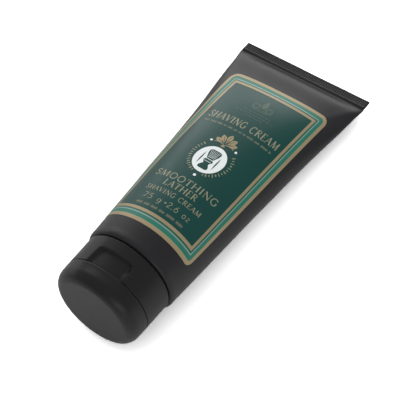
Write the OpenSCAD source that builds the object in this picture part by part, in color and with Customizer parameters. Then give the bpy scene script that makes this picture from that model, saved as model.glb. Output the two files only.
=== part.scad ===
// Flip-top squeeze tube lying on its back, label up.
// Built upright (axis +Z, cap below z = 0, front towards -Y), then laid down by lay().

/* [Part] */

// node to build

/* [Tube] */

// tube diameter
tube_d = 38; // [25:0.5:50]
// sleeve length including the welded tail
sleeve_len = 122; // [80:1:180]
// width of the welded tail band
crimp_h = 4.4; // [3:0.1:8]
// thickness of the welded tail band
crimp_t = 1.1; // [0.8:0.05:1.6]
// sleeve wall
wall = 0.5; // [0.35:0.05:0.8]
// rolled edge radius at the shoulder
shoulder_r = 1.1; // [0.5:0.1:3]
// first fullness term of the belly
full_1 = 0.405; // [0:0.005:1]
// second fullness term of the belly
full_2 = 0.567; // [-1:0.005:2]
// third fullness term of the belly
full_3 = 0.569; // [-1:0.005:2]
// ribs across the welded tail
rib_count = 52; // [20:1:80]
// depth of the tail ribs
rib_d = 0.14; // [0:0.01:0.3]

/* [Head] */

// neck outer diameter
neck_d = 18; // [12:0.5:24]
// neck length below the shoulder
neck_h = 8.5; // [5:0.5:12]
// orifice diameter in the neck's end
neck_hole_d = 5; // [3:0.5:8]

/* [Cap] */

// cap diameter at the shoulder
cap_d = 36.4; // [24:0.1:48]
// cap diameter at the parting line
part_d = 35.9; // [24:0.1:48]
// cap diameter where the end rounding starts
end_d = 35.7; // [24:0.1:48]
// overall cap height
cap_h = 21; // [14:0.5:30]
// height of the parting line from the shoulder
part_h = 12.5; // [8:0.1:18]
// gap between shoulder and cap
groove = 0.35; // [0.1:0.05:1]
// end rounding radius
end_r = 4.6; // [1:0.1:8]
// cap wall
cap_wall = 1.3; // [0.8:0.1:2]
// spout outer diameter
spout_d = 8; // [6:0.5:12]
// spout hole diameter
spout_hole_d = 4.4; // [3:0.1:6]
// running clearance of the lid's plug, radial
plug_gap = 0.09; // [0.02:0.01:0.1]

/* [Thumb recess] */

// recess width
recess_w = 15.8; // [10:0.1:20]
// recess height up from the parting line
recess_h = 7.3; // [4:0.1:9]
// recess corner radius
recess_r = 1.5; // [0.5:0.1:3]
// recess depth below the skirt
recess_d = 1.3; // [0.5:0.1:2.5]

/* [Hinge] */

// distance of the hinge line behind the axis
hinge_y = 18.2; // [17:0.1:20]
// half width of the hinge pads
pad_w = 6.6; // [4:0.1:9]
// film thickness
film_t = 0.3; // [0.2:0.05:0.6]

/* [Label] */

// label half width along the surface
lab_hw = 23.4; // [15:0.1:28]
// label bottom edge above the shoulder
lab_z0 = 9.9; // [5:0.1:20]
// label top edge above the shoulder
lab_z1 = 101.4; // [60:0.1:112]
// share of the body's length the cream reaches
fill_top = 0.69; // [0.5:0.01:0.95]
// thickness of a printed layer
ink = 0.05; // [0.02:0.01:0.2]
// stand-off of the printed ground from the sleeve
lift = 0.09; // [0.02:0.01:0.2]
// how much wider the border's bands are at the top and bottom than at the sides
band_k = 1.25; // [1:0.05:1.5]

/* [Lying pose] */

// tilt of the axis, tail down
tilt = 5.05; // [0:0.05:10]
// height of the shoulder's centre over the table
rest_h = 18.63; // [15:0.001:22]
// shift that centres the bounding box
rest_y = -49.738; // [-80:0.001:0]

/* [Hidden] */

R = tube_d / 2;
body_len = sleeve_len - crimp_h;
flat_hw = PI * tube_d / 4;
girth = PI * tube_d;
NU = 56;

module lay() {
    translate([0, rest_y, rest_h]) rotate([-90 - tilt, 0, 0]) children();
}

// half thickness of the tube at height z
function half_t(z) =
    let (s = min(1, max(0, z / body_len)))
    (R - crimp_t / 2) * (1 - s) * (1 + full_1 * s + full_2 * s * s + full_3 * s * s * s)
    + crimp_t / 2;

function perim(a, b) =
    let (h = pow((a - b) / (a + b), 2))
    PI * (a + b) * (1 + 3 * h / (10 + sqrt(4 - 3 * h)));

// half width that keeps the girth constant
function half_w(b, lo, hi, n) =
    n == 0 ? (lo + hi) / 2
    : let (m = (lo + hi) / 2)
      perim(m, b) > girth ? half_w(b, lo, m, n - 1) : half_w(b, m, hi, n - 1);

function semi(z) =
    let (b = half_t(z),
         i = z < shoulder_r
             ? shoulder_r - sqrt(max(0, pow(shoulder_r, 2) - pow(shoulder_r - z, 2))) : 0)
    [half_w(b, R - 0.01, flat_hw, 22) - i, b - i];

// how far back the sleeve reaches at height z before it is flattened by what it lies on
function table_y(z) = (rest_h - z * sin(tilt)) / cos(tilt);

function ring(z, off, n) =
    let (s = semi(z), y = table_y(z) - off)
    [for (i = [0:n - 1])
        [(s[0] - off) * cos(360 * i / n), min(y, (s[1] - off) * sin(360 * i / n)), z]];

// side triangles between stacked rings of n points, starting at point k
function skin(k, n, rings, flip) =
    [for (j = [0:rings - 2]) for (i = [0:n - 1])
        let (a = k + j * n + i, b = k + j * n + (i + 1) % n, c = b + n, d = a + n)
        each (flip ? [[a, c, b], [a, d, c]] : [[a, b, c], [a, c, d]])];

zs_out = concat([0, 0.1, 0.3, 0.6, shoulder_r],
                [for (i = [1:22]) shoulder_r + (body_len - shoulder_r) * i / 22]);

module tube_shell() {
    m = len(zs_out);
    pts = concat([for (z = zs_out) each ring(z, 0, NU)], [for (z = zs_out) each ring(z, wall, NU)]);
    k = m * NU;
    faces = concat(
        skin(0, NU, m, true), skin(k, NU, m, false),
        [for (i = [0:NU - 1]) let (j = (i + 1) % NU) each [[i, j, k + j], [i, k + j, k + i]]],
        [for (i = [0:NU - 1])
            let (j = (i + 1) % NU, t = (m - 1) * NU)
            each [[t + i, k + t + j, t + j], [t + i, k + t + i, k + t + j]]]);
    polyhedron(points = pts, faces = faces, convexity = 6);
}

module tube_sleeve() color([0.07, 0.07, 0.075]) lay() tube_shell();

// welded band with fine ribs running along the tube
module tail_crimp() {
    p = (2 * flat_hw - 1.2) / rib_count;
    prof = concat(
        [[-flat_hw, 0]],
        [for (i = [0:rib_count - 1])
            each [[-flat_hw + 0.6 + p * (i + 0.15), -crimp_t / 2 + rib_d],
                  [-flat_hw + 0.6 + p * (i + 0.35), -crimp_t / 2],
                  [-flat_hw + 0.6 + p * (i + 0.65), -crimp_t / 2],
                  [-flat_hw + 0.6 + p * (i + 0.85), -crimp_t / 2 + rib_d]]],
        [[flat_hw, 0]],
        [for (i = [rib_count - 1:-1:0])
            each [[-flat_hw + 0.6 + p * (i + 0.85), crimp_t / 2 - rib_d],
                  [-flat_hw + 0.6 + p * (i + 0.65), crimp_t / 2],
                  [-flat_hw + 0.6 + p * (i + 0.35), crimp_t / 2],
                  [-flat_hw + 0.6 + p * (i + 0.15), crimp_t / 2 - rib_d]]]);
    color([0.09, 0.09, 0.095]) lay() translate([0, 0, body_len])
        linear_extrude(height = crimp_h) polygon(prof);
}

// shoulder disc and neck, welded into the sleeve
module tube_head() {
    nr = neck_d / 2;
    color([0.05, 0.05, 0.055]) lay() rotate_extrude(convexity = 4) polygon([
        [R - shoulder_r - wall - 0.15, 0.05], [R - shoulder_r - wall - 0.15, 1.4],
        [nr + 1, 1.8], [nr - 2.4, 1.8], [nr - 2.4, 1 - neck_h], [neck_hole_d / 2, 1 - neck_h],
        [neck_hole_d / 2, -neck_h], [nr - 0.4, -neck_h], [nr, 0.4 - neck_h], [nr, -6.4],
        [nr + 0.5, -5.9], [nr + 0.5, -5.4], [nr, -4.9], [nr, 0.05]]);
}

function taper(z) = cap_d / 2 + (part_d - cap_d) / 2 * (-z - groove) / (part_h - groove);

module recess_tool() {
    intersection() {
        translate([0, 0, -part_h]) rotate([90, 0, 0]) linear_extrude(height = 30)
            union() {
                translate([-recess_w / 2, -1]) square([recess_w, recess_h + 1 - recess_r]);
                translate([-recess_w / 2 + recess_r, -1]) square([recess_w - 2 * recess_r, recess_h + 1]);
                for (s = [-1, 1]) translate([s * (recess_w / 2 - recess_r), recess_h - recess_r])
                    circle(r = recess_r);
            }
        difference() {
            translate([0, 0, -part_h - 2]) cylinder(r = R + 2, h = recess_h + 4);
            translate([0, 0, -part_h - 3])
                cylinder(r1 = part_d / 2 - recess_d - 0.3, r2 = part_d / 2 - recess_d, h = recess_h + 6);
        }
    }
}

// hinge pad between the round wall and the straight hinge line
module pad(s) {
    z = s > 0 ? 0.45 - part_h : -0.55 - part_h;
    translate([-pad_w, 0, 0]) rotate([90, 0, 90]) linear_extrude(height = 2 * pad_w)
        polygon([[15.5, z], [hinge_y, z], [hinge_y, z + s * 2.1], [hinge_y - 0.9, z + s * 3.8],
                 [15.5, z + s * 3.8]]);
}

module cap_base() {
    or0 = cap_d / 2; or1 = part_d / 2; w = cap_wall; sr = spout_d / 2; nr = neck_d / 2;
    color([0.045, 0.045, 0.05]) lay() difference() {
        union() {
            // skirt and deck
            rotate_extrude(convexity = 4) polygon([
                [or0 - w, -groove], [or0 - 0.35, -groove], [or0, -groove - 0.35], [or1, -part_h + 0.15],
                [or1 - 0.15, -part_h], [or1 - w, -part_h], [or1 - w, 1 - part_h], [sr, 1 - part_h],
                [sr, -part_h - 1.7], [sr - 0.5, -part_h - 2.2], [spout_hole_d / 2, -part_h - 2.2],
                [spout_hole_d / 2, 2.2 - part_h], [nr + 0.75, 2.2 - part_h], [nr + 0.75, -4.6],
                [nr + 0.2, -4.2], [nr + 0.2, -3.7], [nr + 0.75, -3.2], [nr + 0.75, -1.2],
                [nr + 1.9, -1.2], [nr + 1.9, 2.2 - part_h], [or0 - w, 2.2 - part_h]]);
            // wall behind the thumb recess
            intersection() {
                translate([0, 0, -part_h]) difference() {
                    cylinder(r = or1 - w + 0.2, h = recess_h + 1.6);
                    translate([0, 0, -1]) cylinder(r = or1 - recess_d - 1.5, h = recess_h + 3);
                }
                translate([-recess_w / 2 - 1.2, -R - 1, -part_h])
                    cube([recess_w + 2.4, R, recess_h + 2]);
            }
            pad(1);
        }
        recess_tool();
        // strap pocket
        translate([-2.3, hinge_y - 0.8, -0.2 - part_h]) cube([4.6, 2, 2.7]);
    }
}

function lid_arc(r, x, z, n) = [for (i = [0:n]) [x + r * cos(90 * i / n), z - r * sin(90 * i / n)]];

module cap_lid() {
    g = 0.1; z0 = -part_h - g; er = end_d / 2; w = cap_wall; pr = spout_hole_d / 2 - plug_gap;
    color([0.05, 0.05, 0.055]) lay() difference() {
        union() {
            rotate_extrude(convexity = 4) polygon(concat(
                [[part_d / 2 - w, z0], [part_d / 2 - 0.15, z0], [part_d / 2, z0 - 0.15]],
                lid_arc(end_r, er - end_r, -cap_h + end_r, 12),
                [[0, -cap_h], [0, -part_h + 0.9], [pr - 0.25, -part_h + 0.9], [pr, -part_h + 0.5],
                 [pr, -cap_h + w]],
                [for (p = [12:-1:0]) lid_arc(end_r - w, er - end_r, -cap_h + end_r, 12)[p]]));
            pad(-1);
        }
        translate([-2.3, hinge_y - 0.8, -2.5 - part_h]) cube([4.6, 2, 2.6]);
    }
}

module hinge_film(s) {
    color([0.05, 0.05, 0.055]) lay()
        translate([s > 0 ? 2.6 : -pad_w + 0.3, hinge_y - film_t, -0.54 - part_h])
            cube([pad_w - 2.9, film_t, 0.98]);
}

module hinge_film_left() hinge_film(-1);
module hinge_film_right() hinge_film(1);

module hinge_strap() {
    color([0.05, 0.05, 0.055]) lay()
        translate([-2, hinge_y - 0.7, -2.35 - part_h]) cube([4, 0.5, 4.7]);
}

module cream_fill() {
    zs = [for (i = [0:20]) 2.6 + (body_len * fill_top - 2.6) * i / 20];
    m = len(zs);
    n = 48;
    pts = concat([for (z = zs) each ring(z, wall + 0.2, n)], [[0, 0, zs[0]], [0, 0, zs[m - 1]]]);
    color([0.93, 0.93, 0.9]) lay() polyhedron(points = pts, convexity = 2, faces = concat(
        skin(0, n, m, true),
        [for (i = [0:n - 1]) [i, (i + 1) % n, m * n]],
        [for (i = [0:n - 1]) [(m - 1) * n + (i + 1) % n, (m - 1) * n + i, m * n + 1]]));
}

// angle on the ellipse at arc length u from the front
function adv(t, du, s, n) =
    n == 0 ? t
    : let (v = sqrt(pow(s[0] * sin(t), 2) + pow(s[1] * cos(t), 2)),
           tm = t + du / 2 / v * 180 / PI,
           vm = sqrt(pow(s[0] * sin(tm), 2) + pow(s[1] * cos(tm), 2)))
      adv(t + du / vm * 180 / PI, du, s, n - 1);

// point on the front of the tube at arc length u and height z, lifted by off
function on(u, z, off) =
    let (s = semi(z), t = adv(-90, u / 14, s, 14),
         q = sqrt(pow(s[1] * cos(t), 2) + pow(s[0] * sin(t), 2)))
    [s[0] * cos(t) + off * s[1] * cos(t) / q, s[1] * sin(t) + off * s[0] * sin(t) / q, z];

module panel(hw, z0, z1, lo, hi, nu, nz) {
    top = [for (j = [0:nz]) for (i = [0:nu])
        on(-hw + 2 * hw * i / nu, z0 + (z1 - z0) * j / nz, hi)];
    bot = [for (j = [0:nz]) for (i = [0:nu])
        on(-hw + 2 * hw * i / nu, z0 + (z1 - z0) * j / nz, lo)];
    k = (nu + 1) * (nz + 1);
    w = nu + 1;
    edge = concat([for (i = [0:nu]) i], [for (j = [1:nz]) j * w + nu],
                  [for (i = [nu - 1:-1:0]) nz * w + i], [for (j = [nz - 1:-1:1]) j * w]);
    n = len(edge);
    polyhedron(points = concat(top, bot), convexity = 4, faces = concat(
        [for (j = [0:nz - 1]) for (i = [0:nu - 1])
            let (a = j * w + i) each [[a, a + w + 1, a + 1], [a, a + w, a + w + 1]]],
        [for (j = [0:nz - 1]) for (i = [0:nu - 1])
            let (a = k + j * w + i) each [[a, a + 1, a + w + 1], [a, a + w + 1, a + w]]],
        [for (i = [0:n - 1])
            let (a = edge[i], b = edge[(i + 1) % n]) each [[a, b, k + b], [a, k + b, k + a]]]));
}

// closed printed line between insets d0 and d1 of the label's outline
module frame_line(d0, d1, nu, nz) {
    lo = lift + 0.15; hi = lo + ink;
    path = concat([for (i = [0:nu - 1]) [-1 + 2 * i / nu, 0]], [for (j = [0:nz - 1]) [1, j / nz]],
                  [for (i = [0:nu - 1]) [1 - 2 * i / nu, 1]], [for (j = [0:nz - 1]) [-1, 1 - j / nz]]);
    n = len(path);
    function pt(p, d, off) =
        on(p[0] * (lab_hw - d), lab_z0 + d * band_k + p[1] * (lab_z1 - lab_z0 - 2 * d * band_k), off);
    pts = concat([for (p = path) pt(p, d0, hi)], [for (p = path) pt(p, d1, hi)],
                 [for (p = path) pt(p, d1, lo)], [for (p = path) pt(p, d0, lo)]);
    polyhedron(points = pts, convexity = 6, faces =
        [for (q = [0:3]) for (i = [0:n - 1])
            let (j = (i + 1) % n, a = q * n, b = ((q + 1) % 4) * n)
            each [[a + i, b + j, a + j], [a + i, b + i, b + j]]]);
}

module front_label() color([0.03, 0.15, 0.12]) lay()
    panel(lab_hw, lab_z0, lab_z1, lift, lift + ink, 24, 22);

module label_outer_line() color([0.62, 0.47, 0.3]) lay() frame_line(0, 1.4, 18, 20);

module label_teal_band() color([0.02, 0.36, 0.29]) lay() frame_line(1.45, 2.8, 18, 20);

module label_silver_line() color([0.6, 0.72, 0.7]) lay() frame_line(2.85, 3.3, 18, 20);

module label_inner_line() color([0.62, 0.47, 0.3]) lay() frame_line(3.9, 5.1, 18, 20);

// generic oval badge above the middle of the label
module label_badge() {
    n = 36; cz = 49.7; ru = 6.3; rz = 7.5; lo = lift + 0.15; hi = lo + ink;
    rr = [0.34, 0.67, 1];
    top = concat([on(0, cz, hi)],
        [for (r = rr) for (i = [0:n - 1]) on(r * ru * cos(360 * i / n), cz + r * rz * sin(360 * i / n), hi)]);
    bot = concat([on(0, cz, lo)],
        [for (r = rr) for (i = [0:n - 1]) on(r * ru * cos(360 * i / n), cz + r * rz * sin(360 * i / n), lo)]);
    k = 1 + 3 * n;
    color([0.8, 0.83, 0.82]) lay() polyhedron(points = concat(top, bot), convexity = 2, faces = concat(
        [for (i = [0:n - 1]) let (j = (i + 1) % n) [0, 1 + j, 1 + i]],
        [for (r = [0:1]) for (i = [0:n - 1])
            let (j = (i + 1) % n, a = 1 + r * n)
            each [[a + i, a + j, a + n + j], [a + i, a + n + j, a + n + i]]],
        [for (i = [0:n - 1]) let (j = (i + 1) % n) [k, k + 1 + i, k + 1 + j]],
        [for (r = [0:1]) for (i = [0:n - 1])
            let (j = (i + 1) % n, a = k + 1 + r * n)
            each [[a + i, a + n + j, a + j], [a + i, a + n + i, a + n + j]]],
        [for (i = [0:n - 1])
            let (j = (i + 1) % n, a = 1 + 2 * n, b = k + 1 + 2 * n)
            each [[a + i, a + j, b + j], [a + i, b + j, b + i]]]));
}

tube_sleeve();
tail_crimp();
tube_head();
cap_base();
cap_lid();
hinge_film_left();
hinge_film_right();
hinge_strap();
cream_fill();
front_label();
label_outer_line();
label_teal_band();
label_silver_line();
label_inner_line();
label_badge();
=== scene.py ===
"""Looks of the shaving cream tube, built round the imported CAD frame.

The tube is drawn upright and in millimetres: +Z is its axis, the cap is below z = 0, the front faces -Y and
the hinge is at +Y. lay() puts such points into the row frame, in metres.
"""
import bpy
import math
import numpy as np
from mathutils import Matrix, Vector


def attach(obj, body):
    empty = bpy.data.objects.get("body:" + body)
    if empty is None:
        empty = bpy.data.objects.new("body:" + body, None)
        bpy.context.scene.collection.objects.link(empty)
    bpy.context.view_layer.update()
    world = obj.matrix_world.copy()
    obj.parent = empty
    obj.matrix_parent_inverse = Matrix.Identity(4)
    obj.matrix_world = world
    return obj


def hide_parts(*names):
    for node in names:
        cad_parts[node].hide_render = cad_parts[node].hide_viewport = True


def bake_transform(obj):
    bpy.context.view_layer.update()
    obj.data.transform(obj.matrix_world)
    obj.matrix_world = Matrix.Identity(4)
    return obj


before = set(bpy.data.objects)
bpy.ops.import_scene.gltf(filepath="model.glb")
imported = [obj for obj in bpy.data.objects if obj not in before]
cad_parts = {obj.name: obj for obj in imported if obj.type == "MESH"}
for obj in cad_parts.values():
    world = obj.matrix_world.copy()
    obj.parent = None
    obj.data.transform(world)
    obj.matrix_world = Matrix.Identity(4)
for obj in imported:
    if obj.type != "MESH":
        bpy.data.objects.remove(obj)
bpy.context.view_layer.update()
rng = np.random.default_rng(7)
TURN = 2 * math.pi

# ---------------------------------------------------------------- the tube's form, as in part.scad
TUBE_R = 19.0
SLEEVE_L = 122.0
CRIMP_H = 4.4
CRIMP_T = 1.1
SHOULDER_R = 1.1
BODY_L = SLEEVE_L - CRIMP_H
FLAT_HALF = math.pi * TUBE_R / 2
# the three fullness terms of the long profile
FULLNESS = (0.405, 0.567, 0.569)
# how the tube lies: its tilt, and where the middle of its shoulder is
TILT = math.radians(5.05)
REST_Y = -49.738
REST_Z = 18.63
# the cap's radius at the groove, at the parting line and where the lid's edge starts to round
CAP_R = 18.2
PART_R = 17.95
END_R = 17.85
CAP_H = 21.0
PART_H = 12.5
GROOVE = 0.35
HINGE_Y = 18.2
PAD_HALF = 6.6
# the label's half width along the surface, and its lowest and highest points
LABEL_HALF = 23.2
LABEL_LOW = 9.9
LABEL_HIGH = 101.4
# the label's border is wider across its ends than along its sides
END_STRETCH = 1.25

# the last stretch before the weld: the sleeve lies flat, swells quickly and eases into the panel
TAIL_L = 20.0
TAIL_STEPS = 400
TAIL_KNOTS = (0, 0.5, 1.3, 2.2, 3.4, 4.8, 6.8, 9.2, 12.5, 16, 20)
TAIL_SLOPES = (-0.55, -0.30, 0.44, 0.68, 0.60, 0.42, 0.27, 0.21, 0.205, 0.23, 0.235)
# how much the sleeve is pinched right at the weld
WELD_PINCH = 0.1
# heights of the uneven spots that a filled sleeve has
LONG_WAVE = 0.10
CROSS_WAVE = 0.07
SHORT_WAVE = 0.05
SINK = 0.45
FOLD = 0.16
SHOULDER_BEAD = 0.10


def lay(points):
    """Upright millimetres to row metres."""
    points = np.asarray(points, float)
    turn = -math.pi / 2 - TILT
    c = math.cos(turn)
    s = math.sin(turn)
    y = REST_Y + points[..., 1] * c - points[..., 2] * s
    z = REST_Z + points[..., 1] * s + points[..., 2] * c
    return np.stack([points[..., 0], y, z], -1) * 0.001


def perimeter(a, b):
    """An ellipse's perimeter, by Ramanujan's formula."""
    h = ((a - b) / (a + b)) ** 2
    return math.pi * (a + b) * (1 + 3 * h / (10 + np.sqrt(4 - 3 * h)))


def hump(x, width):
    """A soft hump that is 1 at x = 0."""
    return np.exp(-((x / width) ** 2))


def smooth_step(x):
    """Eases a share from 0 to 1."""
    return x * x * (3 - 2 * x)


def tail_swell():
    """Distances from the weld, and how far the sleeve has swelled there before it is scaled."""
    w = np.linspace(0, TAIL_L, TAIL_STEPS + 1)
    slope = np.interp(w, TAIL_KNOTS, TAIL_SLOPES)
    kernel = hump(np.linspace(-2, 2, 41), 1)
    slope = np.convolve(np.pad(slope, 20, "edge"), kernel / kernel.sum(), "valid")
    rise = (slope[1:] + slope[:-1]) / 2 * (TAIL_L / TAIL_STEPS)
    return w, np.concatenate([[0], np.cumsum(rise)])


def sleeve_table():
    """Heights, and the half width and half thickness of the sleeve's ellipse at each, at a constant girth."""
    z = np.concatenate([np.linspace(0, BODY_L - TAIL_L, 500),
                        np.linspace(BODY_L - TAIL_L, BODY_L, TAIL_STEPS + 1)[1:]])
    s = z / BODY_L
    f1, f2, f3 = FULLNESS
    weld = CRIMP_T / 2
    thick = (TUBE_R - weld) * (1 - s) * (1 + f1 * s + f2 * s**2 + f3 * s**3) + weld
    w_tail, swell = tail_swell()
    swell = swell * ((np.interp(BODY_L - TAIL_L, z, thick) - weld) / swell[-1])
    w = BODY_L - z
    thick = np.where(w < TAIL_L, np.interp(w, w_tail, swell) + weld - WELD_PINCH * np.exp(-w / 2), thick)
    low = np.full_like(thick, TUBE_R - 0.01)
    high = np.full_like(thick, FLAT_HALF)
    for _ in range(40):
        middle = (low + high) / 2
        too_long = perimeter(middle, np.minimum(thick, TUBE_R)) > TURN * TUBE_R
        high = np.where(too_long, middle, high)
        low = np.where(too_long, low, middle)
    return z, (low + high) / 2, thick


Z_TABLE, WIDE_TABLE, THICK_TABLE = sleeve_table()


def semi(z):
    """Half width and half thickness of the sleeve at height z."""
    return np.interp(z, Z_TABLE, WIDE_TABLE), np.interp(z, Z_TABLE, THICK_TABLE)


def dent(t, z):
    """Height of the soft uneven spots of a filled plastic sleeve, along the surface normal."""
    s = np.clip(z / BODY_L, 0, 1)
    w = BODY_L - z
    x = np.cos(t)
    front = np.clip(-np.sin(t), 0, 1)
    back = np.clip(np.sin(t), 0, 1)
    # long low waves, which are calm at the cap and the tail
    d = LONG_WAVE * np.sin(2.1 * t + 0.055 * z + 0.6) * np.sin(0.083 * z + 1.3)
    d = d + CROSS_WAVE * np.sin(3 * t - 0.11 * z + 2.0) + SHORT_WAVE * np.sin(0.21 * z + 2 * t)
    d = d * np.clip((z - 6) / 30, 0, 1) ** 1.5 * (1 - 0.6 * s)
    # the front and the back sink a little between the tail's corners
    d = d - SINK * hump(w - 17, 10) * hump(x, 0.55) * front
    d = d - SINK * hump(w - 20, 12) * hump(x - 0.1, 0.5) * back
    # folds that run from the tail's corners into the panel
    for side in (-1, 1):
        line = side * (0.99 - 0.0125 * w - 0.00008 * w * w)
        d = d + FOLD * hump(x - line, 0.07) * hump(w - 9, 9)
    # a low bead just above the shoulder
    return d * np.clip(w / 5, 0, 1) + SHOULDER_BEAD * hump(z - 1.9, 0.9)


def table_y(z):
    """How far back the sleeve reaches at height z before the table flattens it."""
    return (REST_Z - z * math.sin(TILT)) / math.cos(TILT)


def wall(t, z, off=0.0):
    """Points on the sleeve at ellipse angle t and height z, lifted by off."""
    t, z = np.broadcast_arrays(np.asarray(t, float), np.asarray(z, float))
    a, b = semi(z)
    z_round = np.clip(z, 0, SHOULDER_R)
    inset = SHOULDER_R - np.sqrt(np.maximum(0, SHOULDER_R**2 - (SHOULDER_R - z_round) ** 2))
    normal = np.hypot(b * np.cos(t), a * np.sin(t))
    lift = off + dent(t, z) - inset
    x = a * np.cos(t) + lift * b * np.cos(t) / normal
    y = b * np.sin(t) + lift * a * np.sin(t) / normal
    return np.stack([x, np.minimum(y, table_y(z)), z], -1)


def on_front(u, z, off):
    """Points at arc length u from the middle of the front and at height z, in row metres."""
    u, z = np.broadcast_arrays(np.asarray(u, float), np.asarray(z, float))
    a, b = semi(z)
    t = np.full(u.shape, -math.pi / 2)
    steps = 40
    for _ in range(steps):
        speed = np.hypot(a * np.sin(t), b * np.cos(t))
        t_half = t + u / steps / 2 / speed
        t = t + u / steps / np.hypot(a * np.sin(t_half), b * np.cos(t_half))
    return lay(wall(t, z, off))


# ---------------------------------------------------------------- meshes
def mesh_object(name, verts, faces, mat, sharp=None):
    """A smooth-shaded object, with edges above the angle sharp, in degrees, kept hard."""
    mesh = bpy.data.meshes.new(name)
    mesh.from_pydata([tuple(v) for v in np.asarray(verts).reshape(-1, 3)], [], faces)
    mesh.validate()
    mesh.shade_smooth()
    if sharp is not None:
        mesh.set_sharp_from_angle(angle=math.radians(sharp))
    mesh.materials.append(mat)
    ob = bpy.data.objects.new(name, mesh)
    bpy.context.scene.collection.objects.link(ob)
    return ob


def grid_faces(rows, cols, wrap_cols=False, wrap_rows=False, start=0):
    """Quads of a grid of points that is stored row by row from the index start."""
    out = []
    for j in range(rows if wrap_rows else rows - 1):
        this = start + j * cols
        above = start + (j + 1) % rows * cols
        for i in range(cols if wrap_cols else cols - 1):
            right = (i + 1) % cols
            out.append((this + i, this + right, above + right, above + i))
    return out


def piece(ob, body, slot, *nodes):
    """Puts an object on its body, in place of CAD nodes if any are named. slot is not used."""
    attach(ob, body)
    if nodes:
        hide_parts(*nodes)
    return ob


# ---------------------------------------------------------------- materials
def noise(tree, scale, detail):
    """A noise texture in object space, and its value's socket."""
    node = tree.nodes.new("ShaderNodeTexNoise")
    node.inputs["Scale"].default_value = scale
    node.inputs["Detail"].default_value = detail
    coords = tree.nodes.new("ShaderNodeTexCoord")
    tree.links.new(coords.outputs["Object"], node.inputs["Vector"])
    return node.outputs["Fac"]


def bump(tree, height, distance):
    """A bump node for a height socket and its depth in metres."""
    node = tree.nodes.new("ShaderNodeBump")
    node.inputs["Strength"].default_value = 1.0
    node.inputs["Distance"].default_value = distance
    tree.links.new(height, node.inputs["Height"])
    return node


def color_mix(tree, blend="MIX"):
    """A colour mix node. Its inputs are 0 factor, 6 first and 7 second colour, and its output is 2."""
    node = tree.nodes.new("ShaderNodeMix")
    node.data_type = "RGBA"
    node.blend_type = blend
    return node


def material(name, color, rough, metal=0.0, spec=0.5, tint=0.12, rough_vary=0.08, blotch=60.0,
             grain=3500.0, grain_h=0.000003, swell=220.0, swell_h=0.000015, milky=0.0):
    """Moulded plastic, printed ink or cream. Its colour and roughness vary softly, by tint and rough_vary,
    and it has a fine grain and a soft swell. blotch, grain and swell are noise scales. grain_h and swell_h
    are heights in metres."""
    mat = bpy.data.materials.new(name)
    mat.use_nodes = True
    tree = mat.node_tree
    shader = tree.nodes["Principled BSDF"]

    mix = color_mix(tree)
    mix.inputs[6].default_value = [c * (1 - tint) for c in color] + [1]
    mix.inputs[7].default_value = [min(1, c * (1 + tint)) for c in color] + [1]
    tree.links.new(noise(tree, blotch, 4.0), mix.inputs[0])
    tree.links.new(mix.outputs[2], shader.inputs["Base Color"])

    spread = tree.nodes.new("ShaderNodeMapRange")
    spread.inputs["From Min"].default_value = 0.3
    spread.inputs["From Max"].default_value = 0.7
    spread.inputs["To Min"].default_value = max(0.02, rough - rough_vary)
    spread.inputs["To Max"].default_value = min(1, rough + rough_vary)
    tree.links.new(noise(tree, blotch * 9, 3.0), spread.inputs["Value"])
    tree.links.new(spread.outputs["Result"], shader.inputs["Roughness"])

    wide = bump(tree, noise(tree, swell, 2.0), swell_h)
    fine = bump(tree, noise(tree, grain, 2.0), grain_h)
    tree.links.new(wide.outputs["Normal"], fine.inputs["Normal"])
    tree.links.new(fine.outputs["Normal"], shader.inputs["Normal"])

    shader.inputs["Metallic"].default_value = metal
    shader.inputs["Specular IOR Level"].default_value = spec
    if milky:
        shader.inputs["Subsurface Weight"].default_value = milky
        shader.inputs["Subsurface Radius"].default_value = (0.004, 0.003, 0.002)
        shader.inputs["Subsurface Scale"].default_value = 1.0
    return mat


def ink(name, color, rough, **changes):
    """A printed ink, which is smoother than the plastic."""
    return material(name, color, rough, rough_vary=0.02, grain=2500, grain_h=0.0000008, swell=160,
                    swell_h=0.000006, **changes)


M_SLEEVE = material("sleeve_satin", (0.017, 0.017, 0.019), 0.36, spec=0.36, tint=0.05, blotch=20,
                    rough_vary=0.02, swell=120, swell_h=0.000008, grain=2600, grain_h=0.0000012)
M_CRIMP = material("crimp_satin", (0.018, 0.018, 0.020), 0.38, spec=0.36, rough_vary=0.03)
M_HEAD = material("head_natural", (0.05, 0.05, 0.055), 0.5)
M_CAP = material("cap_matte", (0.0105, 0.0105, 0.0118), 0.36, spec=0.42, tint=0.05, blotch=30,
                 rough_vary=0.015, swell=150, swell_h=0.000006, grain=5200, grain_h=0.0000015)
M_HINGE = material("hinge_film", (0.022, 0.022, 0.024), 0.45)
M_CREAM = material("cream", (0.9, 0.9, 0.87), 0.35, milky=0.3, tint=0.02)
M_GREEN = ink("ink_green", (0.0032, 0.054, 0.046), 0.31, spec=0.38, tint=0.07, blotch=25)
M_TEAL = ink("ink_teal", (0.010, 0.165, 0.112), 0.34, blotch=90)
M_DEEP = ink("ink_deep_green", (0.008, 0.10, 0.06), 0.34)
M_SILVER = ink("ink_silver", (0.24, 0.36, 0.33), 0.34, metal=0.3)
M_GOLD = ink("ink_gold", (0.35, 0.278, 0.160), 0.34, metal=0.25, tint=0.09, blotch=120)
M_PALE = ink("ink_pale_gold", (0.30, 0.295, 0.20), 0.36, metal=0.25, tint=0.08, blotch=150)
M_FAINT = ink("ink_faint", (0.055, 0.10, 0.07), 0.36, metal=0.1)
M_DIM = ink("ink_dim_gold", (0.17, 0.18, 0.125), 0.36, metal=0.2)
M_WHITE = ink("ink_white", (0.78, 0.83, 0.82), 0.4, tint=0.03)

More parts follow.
